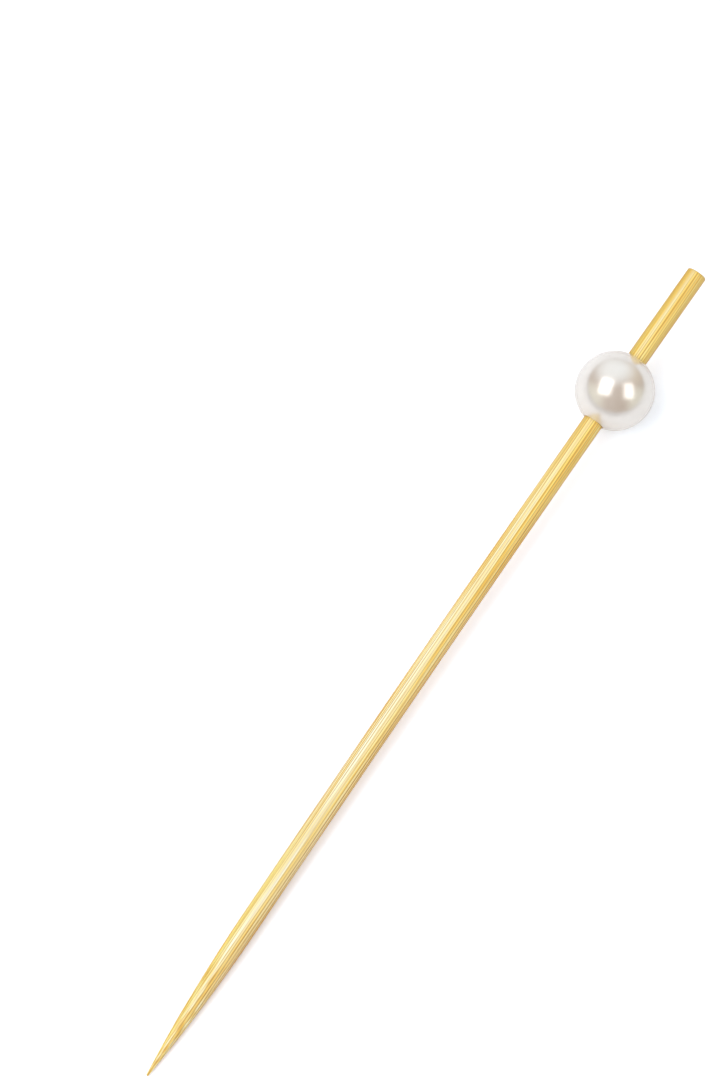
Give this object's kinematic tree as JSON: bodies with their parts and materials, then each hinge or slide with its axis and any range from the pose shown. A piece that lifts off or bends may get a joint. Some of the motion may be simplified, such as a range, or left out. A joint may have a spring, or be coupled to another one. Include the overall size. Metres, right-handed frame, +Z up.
{
  "type": "cocktail pick",
  "caption": "Round bamboo stick ground to a long point, with a glossy imitation pearl bead glued on near its cut end, for skewering garnishes and finger food.",
  "frame": {"origin": "bottom centre of the pick as it lies on a table, on the surface it rests on", "axes": "+X along the stick from the point to the cut end, seen from above, and +Z up; the stick rises by about 2.5 degrees towards the cut end because the bead holds it up"},
  "size_m": [0.1199, 0.01, 0.01],
  "materials": {
    "bamboo": "satin",
    "pearl": "gloss",
    "glue": "gloss"
  },
  "bodies": {
    "root": {"bamboo_stick": "bamboo", "pearl_bead": "pearl", "bead_glue": "glue"}
  },
  "joints": []
}
